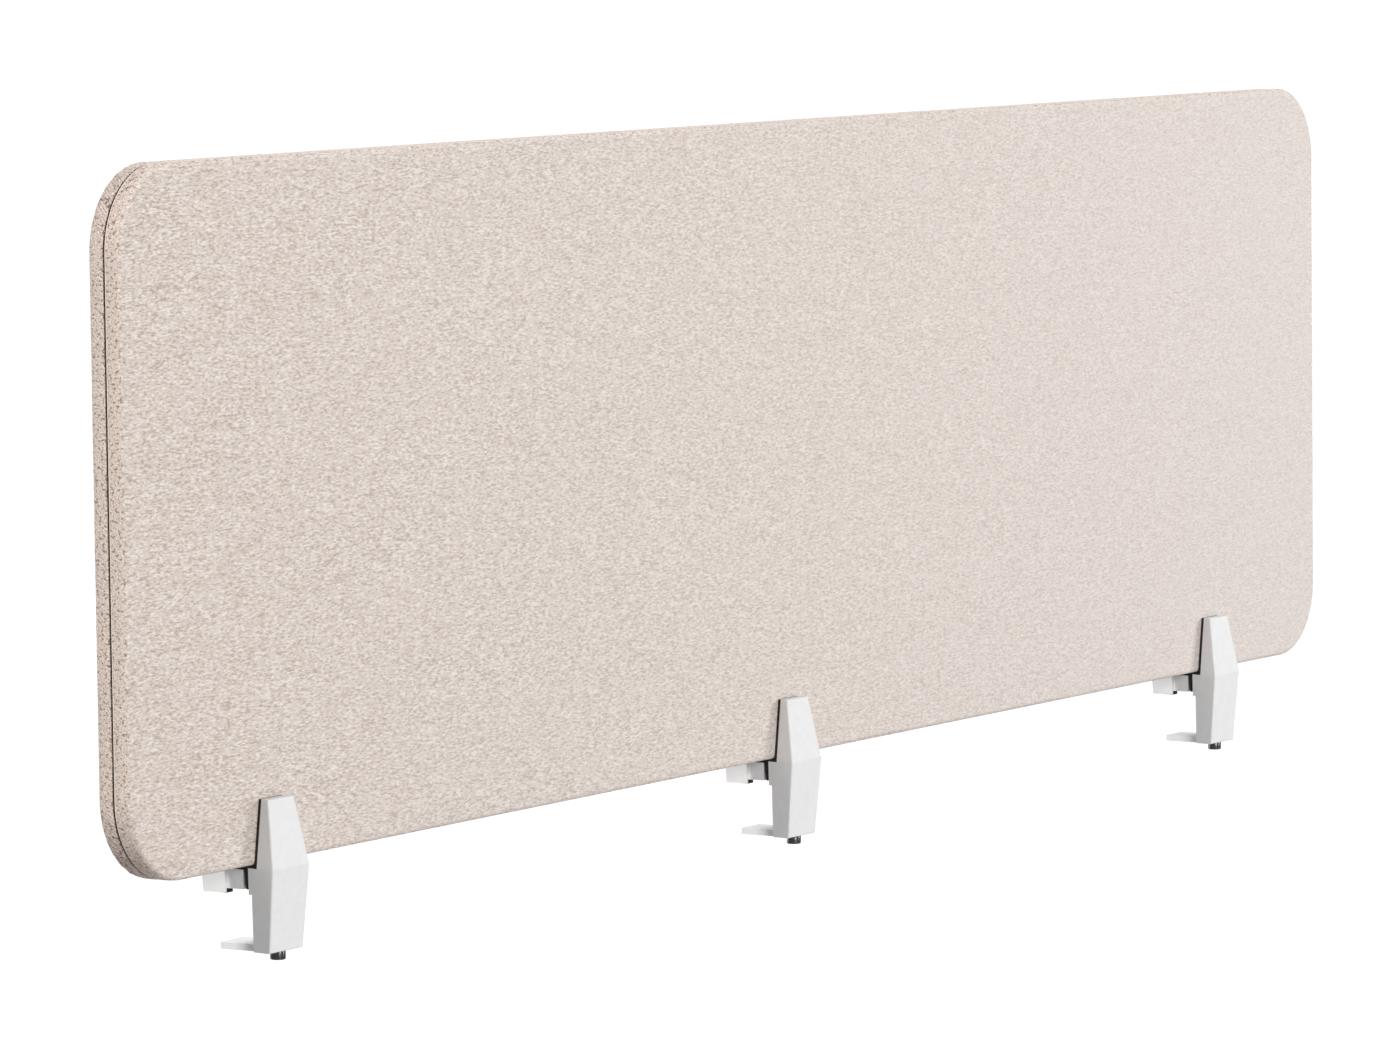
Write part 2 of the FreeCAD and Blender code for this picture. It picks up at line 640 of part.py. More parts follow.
os.makedirs("parts", exist_ok=True)
for body in NODES:
    body.Shape.exportStep("parts/%s.step" % body.Label)
    limits = body.Shape.BoundBox
    print("%-24s %9.1f mm3  x %.1f..%.1f  y %.1f..%.1f  z %.1f..%.1f" % (
        body.Label, body.Shape.Volume, limits.XMin, limits.XMax,
        limits.YMin, limits.YMax, limits.ZMin, limits.ZMax))
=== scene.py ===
"""Looks of the desk privacy panel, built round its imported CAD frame. Lengths are in metres."""

import json
import math

import bpy
import numpy as np
from mathutils import Matrix, Vector


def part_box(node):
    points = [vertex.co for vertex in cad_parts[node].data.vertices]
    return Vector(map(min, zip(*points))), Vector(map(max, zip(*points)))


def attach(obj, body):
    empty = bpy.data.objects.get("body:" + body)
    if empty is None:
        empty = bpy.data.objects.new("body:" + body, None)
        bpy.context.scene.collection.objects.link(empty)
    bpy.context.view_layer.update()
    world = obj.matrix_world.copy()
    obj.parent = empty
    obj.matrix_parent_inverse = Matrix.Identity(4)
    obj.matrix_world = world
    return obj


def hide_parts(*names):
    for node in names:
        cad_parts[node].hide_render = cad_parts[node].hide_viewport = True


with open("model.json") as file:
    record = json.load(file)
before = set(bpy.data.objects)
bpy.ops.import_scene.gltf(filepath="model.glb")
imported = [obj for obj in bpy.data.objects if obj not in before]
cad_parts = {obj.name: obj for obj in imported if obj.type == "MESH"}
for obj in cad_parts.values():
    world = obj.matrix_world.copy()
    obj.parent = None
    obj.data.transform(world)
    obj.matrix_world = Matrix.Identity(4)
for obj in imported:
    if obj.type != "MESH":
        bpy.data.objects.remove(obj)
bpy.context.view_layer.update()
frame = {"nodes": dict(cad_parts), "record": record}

MM = 0.001
TURN = 2 * math.pi
SIDES = ("left", "middle", "right")
CORNER = 55 * MM  # radius of the panel's corners
EDGE_ROUND = 3.5 * MM  # rounding between the edge and the two faces
CLOTH = 0.6 * MM  # thickness of the cloth
SEAM_PITCH = 3.0 * MM  # from one stitch of the seam to the next
COURSE = 3.4 * MM  # from one row of the cloth to the next
PLEAT = 2.8 * MM  # from one fine pleat of the turned edge to the next
LEFT_END, RIGHT_END = -0.8, 0.8  # near the panel's two ends: the cloth's looks change between

low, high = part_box("rear_cover")
PANEL_X = (low.x + high.x) / 2
PANEL_Z = (low.z + high.z) / 2
HALF_WIDTH = (high.x - low.x) / 2
HALF_HEIGHT = (high.z - low.z) / 2
HALF_DEPTH = high.y


# ---------------------------------------------------------------- materials


class Tree:
    """A node material round one Principled shader, with short calls to add and join nodes."""

    def __init__(self, name):
        self.material = bpy.data.materials.new(name)
        self.material.use_nodes = True
        self.tree = self.material.node_tree
        self.tree.nodes.clear()
        self.shader = self.add("ShaderNodeBsdfPrincipled")
        output = self.add("ShaderNodeOutputMaterial")
        self.link(self.shader.outputs["BSDF"], output.inputs["Surface"])
        self.place = self.add("ShaderNodeTexCoord").outputs["Object"]

    def add(self, kind, **settings):
        made = self.tree.nodes.new(kind)
        for key, value in settings.items():
            setattr(made, key, value)
        return made

    def link(self, value, socket):
        """Join another node's output to a socket, or set the socket to a number or colour."""
        if isinstance(value, bpy.types.NodeSocket):
            self.tree.links.new(value, socket)
        else:
            socket.default_value = value

    def scaled(self, vector, scale):
        made = self.add("ShaderNodeMapping")
        self.link(vector, made.inputs["Vector"])
        made.inputs["Scale"].default_value = scale
        return made.outputs["Vector"]

    def noise(self, vector, scale, detail=3.0, roughness=0.5, output="Fac"):
        """Noise of so many grains to the metre; scale is one number, or one for each axis."""
        if isinstance(scale, tuple):
            vector, scale = self.scaled(vector, scale), 1.0
        made = self.add("ShaderNodeTexNoise")
        self.link(vector, made.inputs["Vector"])
        made.inputs["Scale"].default_value = scale
        made.inputs["Detail"].default_value = detail
        made.inputs["Roughness"].default_value = roughness
        return made.outputs[output]

    def cells(self, vector, scale, randomness=1.0, output="Distance"):
        """Rounded cells, so many to the metre; scale is one number, or one for each axis."""
        if isinstance(scale, tuple):
            vector, scale = self.scaled(vector, scale), 1.0
        made = self.add("ShaderNodeTexVoronoi")
        self.link(vector, made.inputs["Vector"])
        made.inputs["Scale"].default_value = scale
        made.inputs["Randomness"].default_value = randomness
        return made.outputs[output]

    def math(self, operation, a, b=0.0):
        made = self.add("ShaderNodeMath", operation=operation)
        self.link(a, made.inputs[0])
        self.link(b, made.inputs[1])
        return made.outputs["Value"]

    def times(self, a, b):
        return self.math("MULTIPLY", a, b)

    def span(self, value, start, end, to_start=0.0, to_end=1.0, smooth=False):
        """value, carried from start..end to to_start..to_end and held there beyond them."""
        made = self.add("ShaderNodeMapRange")
        if smooth:
            made.interpolation_type = "SMOOTHSTEP"
        for socket, number in zip(made.inputs, (value, start, end, to_start, to_end)):
            self.link(number, socket)
        return made.outputs["Result"]

    def mix(self, factor, a, b, blend="MIX"):
        made = self.add("ShaderNodeMix", data_type="RGBA", blend_type=blend)
        sockets = [socket for socket in made.inputs if socket.enabled]
        for socket, value in zip(sockets, (factor, a, b)):
            self.link(value, socket)
        return [socket for socket in made.outputs if socket.enabled][0]

    def bump(self, height, distance, strength=1.0, normal=None):
        made = self.add("ShaderNodeBump")
        self.link(height, made.inputs["Height"])
        made.inputs["Distance"].default_value = distance
        self.link(strength, made.inputs["Strength"])
        if normal is not None:
            self.link(normal, made.inputs["Normal"])
        return made.outputs["Normal"]

    def point_value(self, name):
        return self.add("ShaderNodeAttribute", attribute_name=name).outputs["Fac"]

    def set(self, **sockets):
        for key, value in sockets.items():
            self.link(value, self.shader.inputs[key.replace("_", " ")])
        return self.material


def shade(*rgb):
    """An sRGB colour, 0 to 255, as a linear one."""
    parts = [c / 255 for c in rgb]
    linear = [c / 12.92 if c < 0.04045 else ((c + 0.055) / 1.055) ** 2.4 for c in parts]
    return (*linear, 1.0)


SLUB_DARK = shade(225, 211, 200)
SLUB_PALE = shade(236, 225, 216)
FIBRE_SHADOW = shade(184, 166, 153)
COURSE_SHADOW = shade(176, 156, 143)
FLECK_PALE = shade(255, 249, 243)
FLECK_DARK = shade(164, 141, 126)
CLOUD = shade(222, 206, 198)
PLAIN_CLOTH = shade(226, 218, 213)  # the cloth's mean, that its pattern fades to
# painted shade: the colour the cloth is darkened to along its faint creases
PAINTED_CREASE_SHADE = shade(176, 154, 140)
RIM_TINT = (1.04, 0.991, 0.957, 1.0)  # what the colour is multiplied by on the turned edge
RIM_PEPPER = shade(104, 78, 64)
# painted shade in the pleats of the turned edge
RIM_PLEAT_SHADE = shade(112, 86, 72)


def wool_felt(name):
    """A melange wool cloth: short lying slubs in several beiges over a fine fuzzy ground. Its
    turned edge is peppered and pleated, with painted shade in the pleats, by the point values
    that cover() gives the mesh."""
    t = Tree(name)
    # The ground is the place on the cloth, shifted a little here and there, so that no slub or
    # row lies quite straight.
    sideways = t.add("ShaderNodeVectorMath", operation="SCALE")
    t.link(t.noise(t.place, 55.0, detail=2.0, output="Color"), sideways.inputs["Vector"])
    sideways.inputs["Scale"].default_value = 1.6 * MM
    wandered = t.add("ShaderNodeVectorMath", operation="ADD")
    t.link(t.place, wandered.inputs[0])
    t.link(sideways.outputs["Vector"], wandered.inputs[1])
    ground = wandered.outputs["Vector"]

    slubs = t.cells(ground, (240.0, 770.0, 770.0), randomness=0.9, output="Color")
    slub_shade = t.add("ShaderNodeSeparateColor")
    t.link(slubs, slub_shade.inputs["Color"])
    rows = t.noise(ground, (175.0, 630.0, 630.0), roughness=0.62)
    fibres = t.noise(ground, (480.0, 1700.0, 1700.0), roughness=0.6)
    flecks = t.noise(ground, (260.0, 1000.0, 900.0), roughness=0.55)
    clouds = t.noise(t.place, (9.0, 14.0, 18.0), roughness=0.55)
    axes = t.add("ShaderNodeSeparateXYZ")
    t.link(t.place, axes.inputs["Vector"])
    contrast = t.span(axes.outputs["X"], LEFT_END, RIGHT_END, 0.78, 0.30)

    sway = t.times(t.noise(t.place, 70.0, detail=2.0, roughness=0.6), 22.0)
    level = t.times(axes.outputs["Z"], TURN / COURSE)
    courses = t.math("SINE", t.math("ADD", level, sway))
    body = t.mix(slub_shade.outputs["Red"], SLUB_DARK, SLUB_PALE)
    body = t.mix(t.span(fibres, 0.3, 0.7, 0.3, 0.0), body, FIBRE_SHADOW)
    body = t.mix(t.span(courses, -1.0, 1.0, 0.16, 0.0), body, COURSE_SHADOW)
    body = t.mix(t.span(flecks, 0.55, 0.63, 0.0, 0.8, smooth=True), body, FLECK_PALE)
    body = t.mix(t.span(flecks, 0.46, 0.38, 0.0, 0.8, smooth=True), body, FLECK_DARK)
    body = t.mix(t.span(clouds, 0.35, 0.65, 0.12, 0.0), body, CLOUD)
    body = t.mix(contrast, PLAIN_CLOTH, body)

    gather = t.point_value("gather")
    pepper = t.noise(t.place, (400.0, 400.0, 520.0), roughness=0.6)
    ripple = t.times(t.noise(t.place, 210.0, roughness=0.65), 15.0)
    pleats = t.times(t.point_value("outline"), TURN / PLEAT)
    pleats = t.math("SINE", t.math("ADD", pleats, ripple))
    # painted shade on one side of each pleat, strongest where the edge is gathered
    pleat_shade = t.times(t.span(pleats, 0.2, 1.0, 0.0, 0.42, smooth=True), gather)
    rim = t.mix(1.0, body, RIM_TINT, "MULTIPLY")
    rim = t.mix(t.span(pepper, 0.46, 0.37, 0.0, 0.75, smooth=True), rim, RIM_PEPPER)
    rim = t.mix(pleat_shade, rim, RIM_PLEAT_SHADE)
    body = t.mix(t.point_value("edge"), body, rim)

    # Faint lying creases, towards the left end only: a bump, and painted shade darkening the
    # cloth along each crease.
    crease_run = t.noise(t.place, (7.0, 60.0, 95.0), detail=1.0, roughness=0.4)
    off_crease = t.math("ABSOLUTE", t.math("SUBTRACT", crease_run, 0.5))
    off_crease = t.span(off_crease, 0.0, 0.02, smooth=True)
    crease_shade_share = t.span(axes.outputs["X"], LEFT_END, -0.3, 0.16, 0.0)
    body = t.mix(t.times(t.math("SUBTRACT", 1.0, off_crease), crease_shade_share), body, PAINTED_CREASE_SHADE)

    relief = t.bump(off_crease, 0.3 * MM, 0.3)
    relief = t.bump(pleats, 0.25 * MM, t.times(gather, 0.8), relief)
    relief = t.bump(rows, 1.1 * MM, t.times(contrast, 0.6), relief)
    relief = t.bump(fibres, 0.25 * MM, t.times(contrast, 0.5), relief)
    return t.set(
        Base_Color=body,
        Roughness=t.span(fibres, 0.2, 0.8, 0.82, 0.98),
        Normal=relief,
        Sheen_Weight=0.25,
        Sheen_Roughness=0.5,
        Specular_IOR_Level=0.15,
    )


def powder_coat(name):
    """White textured powder coat: a fine orange peel, slightly uneven in gloss."""
    t = Tree(name)
    peel = t.noise(t.place, 900.0, roughness=0.55)
    swell = t.noise(t.place, 160.0, detail=2.0)
    relief = t.bump(peel, 0.03 * MM, 0.3)
    return t.set(
        Base_Color=t.mix(t.span(swell, 0.3, 0.7), shade(235, 235, 235), shade(239, 239, 239)),
        Roughness=t.span(peel, 0.3, 0.7, 0.5, 0.62),
        Normal=t.bump(swell, 0.08 * MM, 0.1, relief),
        Specular_IOR_Level=0.25,
    )


def black_rubber(name):
    """Fine-grained black rubber, unevenly dusty."""
    t = Tree(name)
    grain = t.noise(t.place, 1400.0, detail=4.0, roughness=0.6)
    dust = t.noise(t.place, 210.0, roughness=0.6)
    return t.set(
        Base_Color=t.mix(t.span(dust, 0.35, 0.7), shade(22, 21, 21), shade(40, 38, 37)),
        Roughness=t.span(grain, 0.3, 0.7, 0.62, 0.8),
        Normal=t.bump(grain, 0.08 * MM, 0.6),
    )


def zinc_steel(name):
    """Zinc-plated steel: a faint spangle under fine scuffs."""
    t = Tree(name)
    spangle = t.cells(t.place, 700.0)
    scuffs = t.noise(t.place, (500.0, 500.0, 2400.0), roughness=0.6)
    return t.set(
        Base_Color=t.mix(spangle, shade(88, 89, 93), shade(118, 119, 123)),
        Metallic=1.0,
        Roughness=t.span(scuffs, 0.3, 0.7, 0.18, 0.32),
        Normal=t.bump(scuffs, 0.03 * MM, 0.4),
    )


def open_foam(name):
    """Open-celled grey foam."""
    t = Tree(name)
    pores = t.cells(t.place, 900.0)
    return t.set(
        Base_Color=t.mix(pores, shade(150, 146, 138), shade(214, 210, 200)),
        Roughness=0.95,
        Normal=t.bump(pores, 0.5 * MM),
    )


def chip_board(name):
    """Raw chipboard: pressed chips in several browns."""
    t = Tree(name)
    chips = t.cells(t.place, (180.0, 500.0, 420.0))
    return t.set(
        Base_Color=t.mix(chips, shade(150, 118, 84), shade(206, 178, 138)),
        Roughness=0.85,
        Normal=t.bump(chips, 0.2 * MM),
    )


def seam_thread(name, dark, bright):
    """Twisted sewing thread, or the folded cloth under it. In pale tones, a painted highlight
    along the seam's rolled lip.
    """
    t = Tree(name)
    twist = t.noise(t.place, 1500.0, roughness=0.6)
    return t.set(
        Base_Color=t.mix(t.span(twist, 0.3, 0.7), dark, bright),
        Roughness=t.span(twist, 0.3, 0.7, 0.7, 0.92),
        Normal=t.bump(twist, 0.2 * MM, 0.6),
        Specular_IOR_Level=0.02,
    )


FELT = wool_felt("wool_felt")
COAT = powder_coat("white_powder_coat")
RUBBER = black_rubber("black_rubber")
ZINC = zinc_steel("zinc_steel")
FOAM = open_foam("grey_foam")
BOARD = chip_board("chip_board")
SEAM = seam_thread("seam_fold", shade(38, 18, 10), shade(62, 34, 22))
THREAD = seam_thread("seam_thread", shade(50, 28, 18), shade(88, 58, 42))
# pale tones: a painted highlight where the rolled lip beside the seam catches the light
LIP_HIGHLIGHT = seam_thread("seam_lip_highlight", shade(222, 204, 190), shade(246, 236, 226))

SLOT_MATERIALS = {
    "foam": FOAM,
    "board": BOARD,
    "seam_fabric": SEAM,
    "coated_metal": COAT,
    "rubber": RUBBER,
    "screw_steel": ZINC,
    "fabric": FELT,
}


# ---------------------------------------------------------------- mesh helpers


def piece(name, points, faces, material, body):
    """A new smooth mesh piece in the row frame, riding on a body."""
    mesh = bpy.data.meshes.new(name)
    mesh.from_pydata([tuple(p) for p in points], [], faces)
    mesh.validate()
    mesh.materials.append(material)
    mesh.shade_smooth()
    made = bpy.data.objects.new(name, mesh)
    bpy.context.scene.collection.objects.link(made)
    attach(made, body)
    return made


def bridge(first, second):
    """Faces between two closed loops of point numbers. Where second repeats a point, the face
    is a triangle."""
    faces = []
    for i in range(len(first)):
        j = (i + 1) % len(first)
        face = [first[i], first[j], second[j], second[i]]
        if second[i] == second[j]:
            face.pop()
        faces.append(face)
    return faces


def distances(points):
    """How far along a line each of its points lies."""
    return np.concatenate([[0], np.cumsum(np.hypot(*np.diff(points, axis=0).T))])


def clamped(value):
    return min(1.0, max(0.0, value))


def perimeter(along_x, along_z, along_arc):
    """Points of the straight inner rectangle that the outline is rolled about, and the way out
    of the panel at each: four sides and four corners, round the panel once."""
    reach = (HALF_WIDTH - CORNER, HALF_HEIGHT - CORNER)
    corners = [(-1, -1), (1, -1), (1, 1), (-1, 1)]
    bases, ways = [], []
    for k in range(4):
        start = np.array(corners[k]) * reach
        stop = np.array(corners[(k + 1) % 4]) * reach
        count = along_x if k % 2 == 0 else along_z
        heading = math.radians(-90 + 90 * k)
        for i in range(count):
            bases.append(start + (stop - start) * i / count)
            ways.append((math.cos(heading), math.sin(heading)))
        for i in range(along_arc):
            angle = heading + math.radians(90) * i / along_arc
            bases.append(stop)
            ways.append((math.cos(angle), math.sin(angle)))
    return np.array(bases), np.array(ways)


ALONG_X, ALONG_Z, ALONG_ARC = 310, 72, 36
BASES, WAYS = perimeter(ALONG_X, ALONG_Z, ALONG_ARC)
RING = len(BASES)


# ---------------------------------------------------------------- cover and seam

PLEAT_LENGTHS = (5.1, 7.3, 9.7, 14.0)  # wave lengths of the pleats across the edge, mm
PULL_LENGTHS = (9.7, 13.1, 19.0, 31.0)  # of the seam's pull on the cloth beside it, mm
PULL = 0.1 * MM  # height of one such wave
PLEAT_LEAN = 0.9  # how far a pleat shifts along the edge for each step away from the seam
SLACK = 0.09 * MM  # how far the faces lie below the nominal ones on average
SLACK_WAVES = 14
SLACK_SPREAD = 5  # what the sum of the waves is divided by
SLACK_LENGTHS = (28 * MM, 120 * MM)


def slack_waves(seed):
    """Random plane waves: how fast each one turns along X and along Z, and its phase."""
    random = np.random.default_rng(seed)
    angle = random.normal(0.0, 0.5, SLACK_WAVES) + math.pi / 2
    pace = TURN / random.uniform(*SLACK_LENGTHS, SLACK_WAVES)
    return pace * np.cos(angle), pace * np.sin(angle), random.uniform(0, TURN, SLACK_WAVES)


def slack(x, z, seed):
    """How far the stretched cloth lies below the nominal face, at points of the face."""
    total = np.zeros_like(x)
    for kx, kz, phase in zip(*slack_waves(seed)):
        total += np.sin(kx * x + kz * z + phase)
    return SLACK * (1 + total / SLACK_SPREAD)


def ripples(along, lengths, starts):
    """Waves of the given lengths in mm, added up at the given distances along a line."""
    total = np.zeros(len(along))
    for length, start in zip(lengths, starts):
        total += np.sin(TURN * along / (length * MM) + start)
    return total


def rolled_section():
    """The cloth's section from the seam over the edge to the face, in mm: how far inside the
    outline each point lies, and how far from the seam's plane."""
    section = [(1.1, 0.94), (0.6, 0.96), (0.28, 1.15), (0.1, 1.5), (0.0, 2.4), (-0.1, 4.0)]
    section += [(-0.06, 5.8), (0.0, 7.5)]
    flat = HALF_DEPTH / MM
    rounding = EDGE_ROUND / MM
    for degrees in (15, 30, 45, 60, 75, 90):
        angle = math.radians(degrees)
        inset = rounding * (1 - math.cos(angle))
        section.append((inset, flat - rounding + rounding * math.sin(angle)))
    section += [(inset, flat) for inset in (5, 8, 12, 17, 23, 31, 42)]
    return section


def grid_border(first):
    """The border of the face's grid, in step with the rings: its corners last for an arc."""
    row = ALONG_X + 1
    top = first + ALONG_Z * row
    corners = (first, first + ALONG_X, top + ALONG_X, top)
    walks = ((ALONG_X, 1), (ALONG_Z, row), (ALONG_X, -1), (ALONG_Z, -row))
    border = []
    for k, (count, step) in enumerate(walks):
        border += [corners[k] + step * i for i in range(count)]
        border += [corners[(k + 1) % 4]] * ALONG_ARC
    return border


def cover(name, side, seed):
    """One half of the cloth cover: it rolls out of the seam, over the edge and across a face.
    side is -1 for the front half and 1 for the rear half, which is gathered more."""
    pleat_rise, gathered = (0.11 * MM, 1.0) if side > 0 else (0.06 * MM, 0.4)
    at_corner = np.abs(WAYS[:, 0] * WAYS[:, 1]) * 2
    run = distances(BASES + WAYS * CORNER)
    random = np.random.default_rng(seed)
    pleat_starts = random.uniform(0, TURN, len(PLEAT_LENGTHS))
    pull_starts = random.uniform(0, TURN, len(PULL_LENGTHS))
    pull = PULL * ripples(run, PULL_LENGTHS, pull_starts)
    pleat_height = pleat_rise * (0.25 + at_corner)

    # The edge's looks fade out 2 mm inside the outline, the seam's pull 3 mm from its plane, and
    # the pleats reach their full height 3 mm from it.
    points, edge, outline, gather = [], [], [], []
    for inset, depth in rolled_section():
        near_edge = clamped((2.0 - inset) / 1.5)
        near_seam = clamped((3.0 - depth) / 1.5)
        slanted = run + depth * MM * PLEAT_LEAN
        lift = ripples(slanted, PLEAT_LENGTHS, pleat_starts)
        lift *= pleat_height * near_edge * min(1.0, depth / 3)
        xz = BASES + WAYS * (CORNER - inset * MM + lift)[:, None]
        x, z = xz[:, 0] + PANEL_X, xz[:, 1] + PANEL_Z
        dip = slack(x, z, seed) * (1 - near_edge)
        y = side * (depth * MM - dip + pull * near_seam)
        points.append(np.stack([x, y, z], axis=1))
        edge.append(np.full(RING, near_edge))
        outline.append(slanted)
        gather.append((0.3 + 0.7 * at_corner) * near_edge * gathered)
    rings = len(points)

    grid_x = np.linspace(-1, 1, ALONG_X + 1) * (HALF_WIDTH - CORNER) + PANEL_X
    grid_z = np.linspace(-1, 1, ALONG_Z + 1) * (HALF_HEIGHT - CORNER) + PANEL_Z
    x, z = (axis.ravel() for axis in np.meshgrid(grid_x, grid_z))
    y = side * (HALF_DEPTH - slack(x, z, seed))
    points.append(np.stack([x, y, z], axis=1))
    for values in (edge, outline, gather):
        values.append(np.zeros(len(x)))

    start = rings * RING
    row = ALONG_X + 1
    loops = [[k * RING + i for i in range(RING)] for k in range(rings)] + [grid_border(start)]
    faces = []
    for outer, inner in zip(loops, loops[1:]):
        faces += bridge(outer, inner)
    for v in range(ALONG_Z):
        for u in range(ALONG_X):
            a = start + v * row + u
            faces.append([a, a + 1, a + 1 + row, a + row])
    if side > 0:
        faces = [face[::-1] for face in faces]

    made = piece(name, np.concatenate(points), faces, FELT, "screen")
    for key, values in (("edge", edge), ("outline", outline), ("gather", gather)):
        attribute = made.data.attributes.new(key, "FLOAT", "POINT")
        attribute.data.foreach_set("value", np.concatenate(values).astype(np.float32))
    skin = made.modifiers.new("thickness", "SOLIDIFY")
    skin.thickness = CLOTH
    skin.offset = -1.0
    return made


def hoop(name, depth, sunk, radius, material):
    """A thin round cord that follows the panel's outline at one depth."""
    spokes = 8
    points, faces = [], []
    for k in range(spokes):
        angle = TURN * k / spokes
        xz = BASES + WAYS * (CORNER - sunk + radius * math.cos(angle))
        y = np.full(RING, depth + radius * math.sin(angle))
        points.append(np.stack([xz[:, 0] + PANEL_X, y, xz[:, 1] + PANEL_Z], axis=1))
    for k in range(spokes):
        m = (k + 1) % spokes
        for i in range(RING):
            j = (i + 1) % RING
            faces.append([k * RING + i, m * RING + i, m * RING + j, k * RING + j])
    return piece(name, np.concatenate(points), faces, material, "screen")


def stitches(name):
    """The seam's thread: one short raised stitch after another along the sunken seam."""
    sunk = 0.62 * MM
    thread_radius = 0.42 * MM
    spokes = 6
    # A stitch's section: its place along the stitch, in pitches, and its share of the radius.
    profile = [(-0.34, 0.0), (-0.28, 0.7), (-0.12, 1.0), (0.12, 1.0), (0.28, 0.7), (0.34, 0.0)]
    smallest = 0.15
    outline = BASES + WAYS * (CORNER - sunk)
    closed = np.vstack([outline, outline[:1]])
    run = distances(closed)
    count = round(run[-1] / SEAM_PITCH)
    pitch = run[-1] / count
    points, faces = [], []
    for n in range(count):
        along = np.mod([(n + 0.5 + share) * pitch for share, _ in profile], run[-1])
        xs, zs = (np.interp(along, run, closed[:, axis]) for axis in (0, 1))
        heading = Vector((xs[3] - xs[2], 0, zs[3] - zs[2])).normalized()
        out = Vector((heading.z, 0, -heading.x))
        first = len(points)
        for (_, share), x, z in zip(profile, xs, zs):
            radius = thread_radius * max(share, smallest)
            for k in range(spokes):
                angle = TURN * k / spokes
                aside = out * (radius * math.cos(angle))
                y = radius * math.sin(angle)
                points.append((x + aside.x + PANEL_X, y, z + aside.z + PANEL_Z))
        for r in range(len(profile) - 1):
            for k in range(spokes):
                a, b = first + r * spokes + k, first + r * spokes + (k + 1) % spokes
                faces.append([a, b, b + spokes, a + spokes])
        last = first + (len(profile) - 1) * spokes
        faces.append([first + k for k in reversed(range(spokes))])
        faces.append([last + k for k in range(spokes)])
    return piece(name, points, faces, THREAD, "screen")


# ---------------------------------------------------------------- screws


def screw(name, node, body, axis, flip, head_height, socket):
    """A socket cap screw in place of a CAD one: knurled head, hexagon socket and real thread.
    axis is 1 or 2 for Y or Z; flip is -1 where the head is at the low end of the axis."""
    lowest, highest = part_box(node)
    low_end, high_end = lowest[axis], highest[axis]
    centre = (lowest + highest) / 2
    head_radius = (highest.x - lowest.x) / 2
    length = high_end - low_end
    flutes, around = 48, 96
    crest, root, pitch = 2.96 * MM, 2.5 * MM, 1.0 * MM
    knurl_depth = 0.16 * MM
    pinhole = 0.02 * MM  # radius at which the two ends close
    socket_floor = head_height * 0.55

    def circle(radius):
        return np.full(around, radius)

    angles = TURN * np.arange(around) / around
    hexagon = socket / 2 / np.cos((angles + math.pi / 6) % (math.pi / 3) - math.pi / 6)
    knurl = head_radius - knurl_depth * (np.arange(around) % (around // flutes))
    # Each row: its distance from the outer face of the head, and its radii round the screw.
    rows = [
        (socket_floor + 0.5 * MM, circle(pinhole)),
        (socket_floor, hexagon),
        (0.25 * MM, hexagon),
        (0.0, hexagon + 0.25 * MM),
        (0.0, circle(head_radius - 0.7 * MM)),
        (0.15 * MM, circle(head_radius - 0.35 * MM)),
        (0.5 * MM, circle(head_radius - 0.05 * MM)),
        (0.8 * MM, knurl),
        (head_height - 0.5 * MM, knurl),
        (head_height - 0.1 * MM, circle(head_radius - 0.25 * MM)),
        (head_height, circle(head_radius - 0.4 * MM)),
        (head_height, circle(crest)),
        (head_height + 3 * MM, circle(crest)),
    ]
    at = head_height + 3.2 * MM
    while at < length - 0.9 * MM:
        phase = (at / pitch - angles / TURN) % 1.0
        rows.append((at, root + (crest - root) * np.abs(2 * phase - 1)))
        at += pitch / 6
    rows.append((length - 0.8 * MM, circle(root)))
    rows.append((length, circle(root - 0.6 * MM)))
    rows.append((length, circle(pinhole)))

    points = []
    for distance, radii in rows:
        height = low_end + distance if flip < 0 else high_end - distance
        a, b = radii * np.cos(angles), radii * np.sin(angles)
        level = np.full(around, height)
        if axis == 2:
            ring = (centre.x + a, centre.y + b, level)
        else:
            ring = (centre.x + a, level, centre.z + b)
        points.append(np.stack(ring, axis=1))
    loops = [[r * around + i for i in range(around)] for r in range(len(rows))]
    faces = []
    for upper, lower in zip(loops, loops[1:]):
        faces += bridge(upper, lower)
    faces += [loops[0][::-1], loops[-1]]
    if (axis == 2) == (flip > 0):
        faces = [face[::-1] for face in faces]
    made = piece(name, np.concatenate(points), faces, ZINC, body)
    made.data.set_sharp_from_angle(angle=math.radians(35))
    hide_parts(node)
    return made


# ---------------------------------------------------------------- the object

for part in frame["record"]["subparts"]:
    node = frame["nodes"][part["node"]]
    node.data.materials.clear()
    node.data.materials.append(SLOT_MATERIALS[part["material_slot"]])

front = cover("front_cover_cloth", side=-1, seed=11)
rear = cover("rear_cover_cloth", side=1, seed=12)
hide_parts("front_cover")
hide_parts("rear_cover")
# a raised cord along the seam, whose pale colour is a painted highlight of the front cover's
# rolled lip
lip_highlight = hoop("seam_lip_highlight", -1.05 * MM, sunk=0.4 * MM, radius=0.42 * MM, material=LIP_HIGHLIGHT)
thread = stitches("seam_stitches")

for w in SIDES:
    jaw_names = (f"{w}_jaw_bolt_steel", f"{w}_jaw_screw", f"{w}_jaw_bolt")
    grip_names = (f"{w}_grip_bolt_steel", f"{w}_grip_screw", f"{w}_grip_bolt")
    screw(*jaw_names, axis=2, flip=-1, head_height=6 * MM, socket=5 * MM)
    screw(*grip_names, axis=1, flip=1, head_height=4 * MM, socket=4 * MM)


# ---------------------------------------------------------------- stage

FLOOR_Z = -0.36  # well below the part, as no desk is shown under it
FLOOR_HALF = 150.0
FLOOR_GREY = 0.42  # how much light the floor throws back
FLOOR_GLOW = 0.85  # how far the camera sees it as plain white
GLOW_STRENGTH = 1.2
SKY_LIGHT = 0.24  # strength of the sky as a light; the camera sees it white


